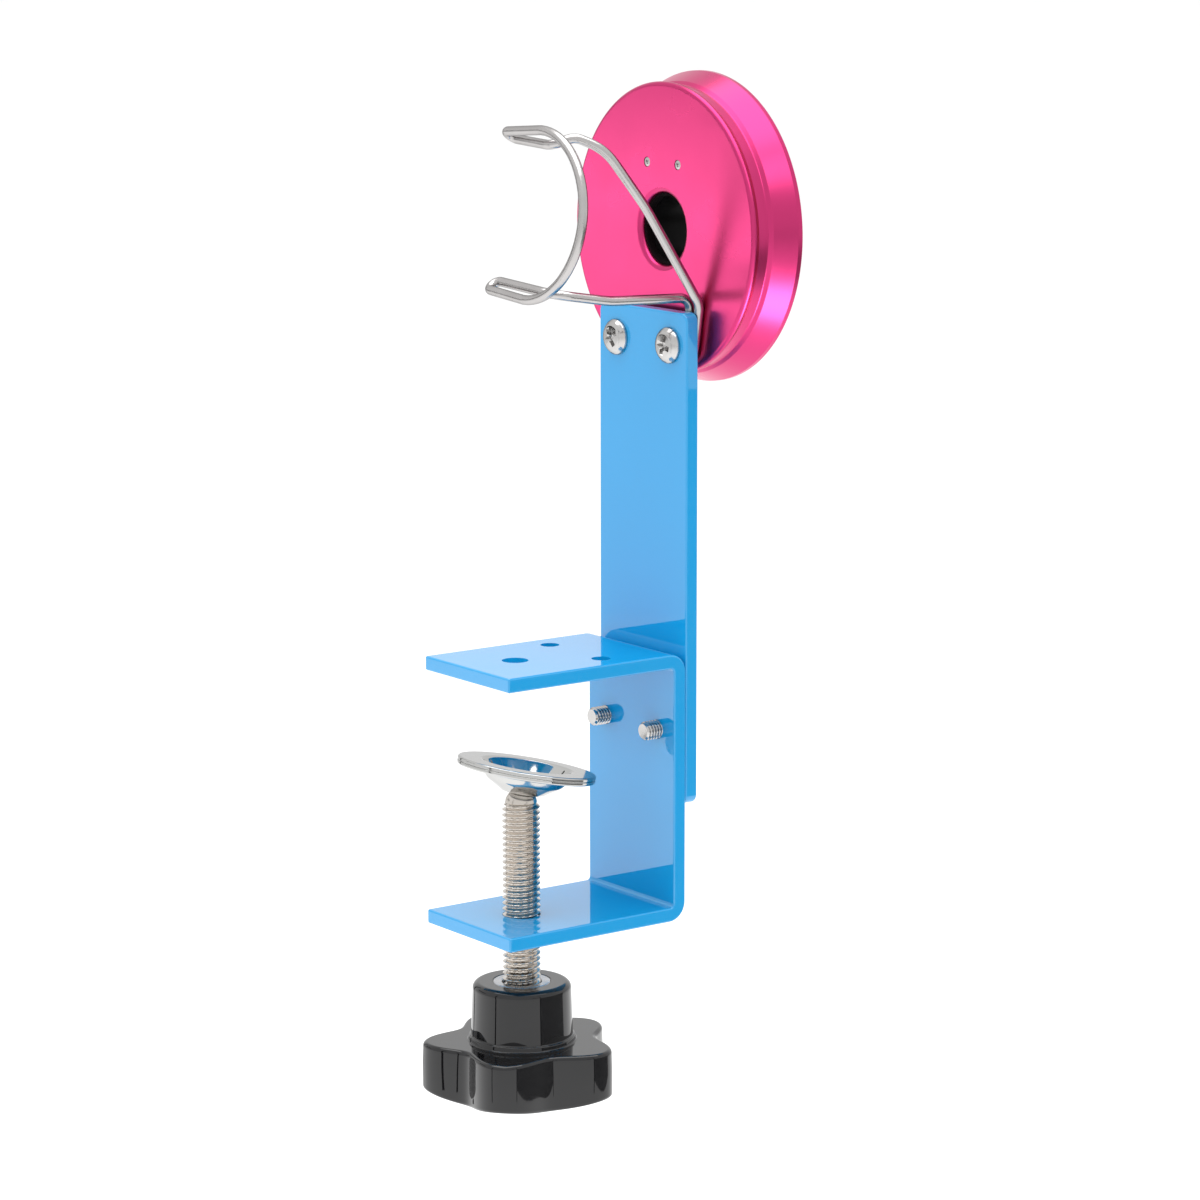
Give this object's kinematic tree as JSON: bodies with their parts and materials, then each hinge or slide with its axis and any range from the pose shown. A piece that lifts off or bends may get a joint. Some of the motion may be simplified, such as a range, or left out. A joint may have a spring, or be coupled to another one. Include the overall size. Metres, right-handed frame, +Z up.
{
  "type": "spool holder stand",
  "caption": "Clamp-on stand: steel C-clamp with knob and swivel pad, flat upright bar, flanged metal disc with a lined bore, and a bent-wire snap-in cradle.",
  "frame": {"origin": "middle of the clamp seat, the flat underside of the upper jaw", "axes": "+Z up; +X across the width of the stand; -Y the way the jaws open and the cradle faces"},
  "size_m": [0.0646, 0.0721, 0.213],
  "materials": {
    "blue_paint": "gloss sky-blue powder paint",
    "pink_anodised": "satin pink anodised, fine turning marks",
    "bright_wire": "bright drawn stainless wire",
    "screw_chrome": "bright plated screws",
    "nickel_steel": "nickel-plated steel",
    "pad_chrome": "bright plated pressed steel",
    "insert_metal": "zinc-plated insert",
    "black_plastic": "gloss black moulded plastic",
    "bush_plastic": "black moulded plastic",
    "black_felt": "black felt"
  },
  "bodies": {
    "stand": {"clamp_bracket": "blue_paint", "upright_bar": "blue_paint", "joint_screw_left": "screw_chrome", "joint_screw_right": "screw_chrome", "cradle_screw_left": "screw_chrome", "cradle_screw_right": "screw_chrome", "flanged_disc": "pink_anodised", "bore_felt": "black_felt", "bore_bush": "bush_plastic", "face_screw_left": "screw_chrome", "face_screw_right": "screw_chrome", "wire_cradle": "bright_wire"},
    "collar": {"ball_collar": "nickel_steel"},
    "screw": {"spindle": "nickel_steel", "knob": "black_plastic", "knob_insert": "insert_metal"},
    "washer": {"pad_washer": "nickel_steel"},
    "pad": {"pressure_pad": "pad_chrome"}
  },
  "joints": [
    {"name": "spindle_travel", "type": "slide", "parent": "stand", "child": "collar", "axis": [0, 0, 1], "range_m": [-0.024, 0.011]},
    {"name": "spindle_turn", "type": "hinge", "parent": "collar", "child": "screw", "pos_m": [0, -0.006, -0.0274], "axis": [0, 0, 1], "range_deg": [-6942, 3198]},
    {"name": "pad_spin", "type": "hinge", "parent": "collar", "child": "washer", "pos_m": [0, -0.006, -0.0274], "axis": [0, 0, 1], "continuous": true},
    {"name": "pad_tilt", "type": "hinge", "parent": "washer", "child": "pad", "pos_m": [0, -0.006, -0.0274], "axis": [-0.9976, 0.0698, 0], "range_deg": [-22, 0]}
  ],
  "couplings": [
    {"joint": "spindle_turn", "follows": "spindle_travel", "rad_per_m": 5026.5}
  ]
}
